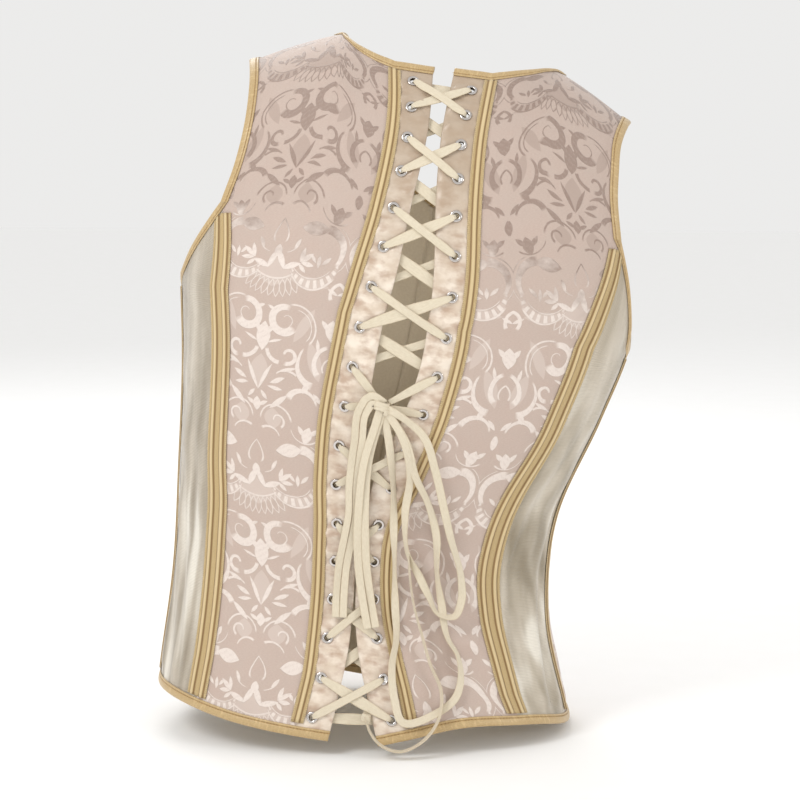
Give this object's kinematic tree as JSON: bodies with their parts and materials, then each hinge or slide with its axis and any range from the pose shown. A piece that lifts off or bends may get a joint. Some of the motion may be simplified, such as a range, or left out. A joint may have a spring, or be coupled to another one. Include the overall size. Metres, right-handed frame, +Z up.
{
  "type": "boned waistcoat",
  "caption": "Fitted sleeveless brocade waistcoat with boned seams and a laced back, shown as worn, hollow and open at neck, armholes and hem.",
  "frame": {"origin": "the point between the wearer's shoulders, where the garment is carried", "axes": "+Z up along the wearer's height, +X to the wearer's left, -Y to the wearer's front"},
  "size_m": [0.3692, 0.246, 0.5371],
  "materials": {
    "brocade": "pinkish beige brocade with a satin scroll and palmette pattern",
    "satin": "champagne satin with fine cross ribs",
    "gold_satin": "golden satin tape and binding",
    "eyelet_metal": "silvery polished metal",
    "lace": "cream woven flat lace"
  },
  "bodies": {
    "root": {"lacing_strip_left": "satin", "back_panel_left": "brocade", "side_panel_left": "satin", "front_panel_left": "brocade", "lacing_strip_right": "satin", "back_panel_right": "brocade", "side_panel_right": "satin", "front_panel_right": "brocade", "eyelet_left_1": "eyelet_metal", "eyelet_left_2": "eyelet_metal", "eyelet_left_3": "eyelet_metal", "eyelet_left_4": "eyelet_metal", "eyelet_left_5": "eyelet_metal", "eyelet_left_6": "eyelet_metal", "eyelet_left_7": "eyelet_metal", "eyelet_left_8": "eyelet_metal", "eyelet_left_9": "eyelet_metal", "eyelet_left_10": "eyelet_metal", "eyelet_left_11": "eyelet_metal", "eyelet_left_12": "eyelet_metal", "eyelet_left_13": "eyelet_metal", "eyelet_left_14": "eyelet_metal", "eyelet_left_15": "eyelet_metal", "eyelet_left_16": "eyelet_metal", "eyelet_left_17": "eyelet_metal", "eyelet_left_18": "eyelet_metal", "eyelet_right_1": "eyelet_metal", "eyelet_right_2": "eyelet_metal", "eyelet_right_3": "eyelet_metal", "eyelet_right_4": "eyelet_metal", "eyelet_right_5": "eyelet_metal", "eyelet_right_6": "eyelet_metal", "eyelet_right_7": "eyelet_metal", "eyelet_right_8": "eyelet_metal", "eyelet_right_9": "eyelet_metal", "eyelet_right_10": "eyelet_metal", "eyelet_right_11": "eyelet_metal", "eyelet_right_12": "eyelet_metal", "eyelet_right_13": "eyelet_metal", "eyelet_right_14": "eyelet_metal", "eyelet_right_15": "eyelet_metal", "eyelet_right_16": "eyelet_metal", "eyelet_right_17": "eyelet_metal", "eyelet_right_18": "eyelet_metal", "back_tape_left": "gold_satin", "side_back_tape_left": "gold_satin", "side_front_tape_left": "gold_satin", "back_tape_right": "gold_satin", "side_back_tape_right": "gold_satin", "side_front_tape_right": "gold_satin", "front_tape": "gold_satin", "hem_binding": "gold_satin", "neck_binding": "gold_satin", "armhole_binding_left": "gold_satin", "armhole_binding_right": "gold_satin", "lace_upper": "lace", "lace_lower": "lace", "lace_bow": "lace"}
  },
  "joints": []
}
